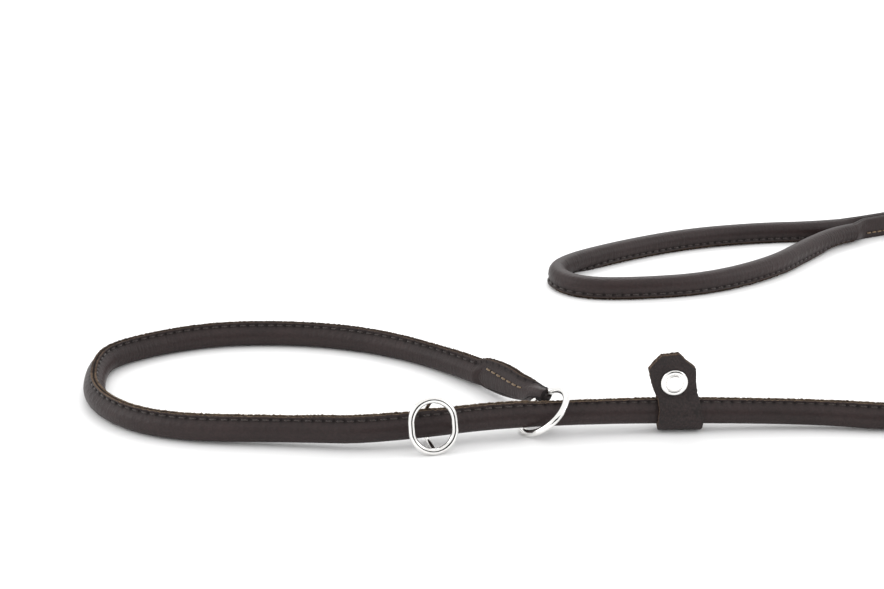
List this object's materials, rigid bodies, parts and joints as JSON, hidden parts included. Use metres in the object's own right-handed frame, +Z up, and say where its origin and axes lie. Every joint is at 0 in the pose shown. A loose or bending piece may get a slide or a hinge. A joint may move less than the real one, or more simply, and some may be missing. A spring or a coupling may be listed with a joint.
{
  "type": "training leash",
  "caption": "Slip lead for dog training in rolled leather: a noose running through a slip ring, with a choke stop and a riveted leather stop, and a sewn hand loop.",
  "frame": {"origin": "on the surface that the lead lies on, under the middle of its outline", "axes": "+Z up, +X from the noose towards the hand end, +Y towards the hand loop"},
  "size_m": [0.5304, 0.3329, 0.036],
  "materials": {
    "rolled_leather": "dark brown smooth grain with an open tan edge along the seam",
    "flat_leather": "dark brown, the same leather opened out flat",
    "strap_leather": "dark brown matt grain with cut edges",
    "filler_cord": "undyed braided cord",
    "thread": "waxed brown thread",
    "nickel": "bright nickel plate on steel"
  },
  "bodies": {
    "lead": {"noose_far_cover": "rolled_leather", "noose_far_core": "filler_cord", "noose_near_cover": "rolled_leather", "noose_near_core": "filler_cord", "line_cover": "rolled_leather", "line_core": "filler_cord", "hand_loop_cover": "rolled_leather", "hand_loop_core": "filler_cord", "handle_lap": "flat_leather", "line_lap": "flat_leather", "lap_stitching_front": "thread", "lap_stitching_back": "thread"},
    "noose_end": {"ring_fold": "flat_leather", "fold_tongue": "flat_leather", "fold_stitching_front": "thread", "fold_stitching_back": "thread"},
    "slip_ring": {"slip_ring": "nickel"},
    "choke_stop": {"choke_stop": "nickel"},
    "leather_stop": {"stop_strap": "strap_leather", "stop_rivet_cap": "nickel", "stop_rivet_back": "nickel"}
  },
  "joints": [
    {"name": "noose_slide", "type": "slide", "parent": "lead", "child": "noose_end", "axis": [0.9877, 0.1564, 0], "range_m": [-0.008, 0.012], "deforming": ["noose_far_cover", "noose_far_core"]},
    {"name": "slip_ring_turn", "type": "hinge", "parent": "noose_end", "child": "slip_ring", "pos_m": [-0.0545, -0.14, 0.0093], "axis": [-0.6113, -0.1754, 0.7717], "continuous": true},
    {"name": "choke_stop_slide", "type": "slide", "parent": "lead", "child": "choke_stop", "axis": [0.9678, 0.2519, 0], "range_m": [-0.012, 0.012]},
    {"name": "leather_stop_slide", "type": "slide", "parent": "lead", "child": "leather_stop", "axis": [0.998, 0.059, -0.0225], "range_m": [-0.01, 0.02]}
  ]
}
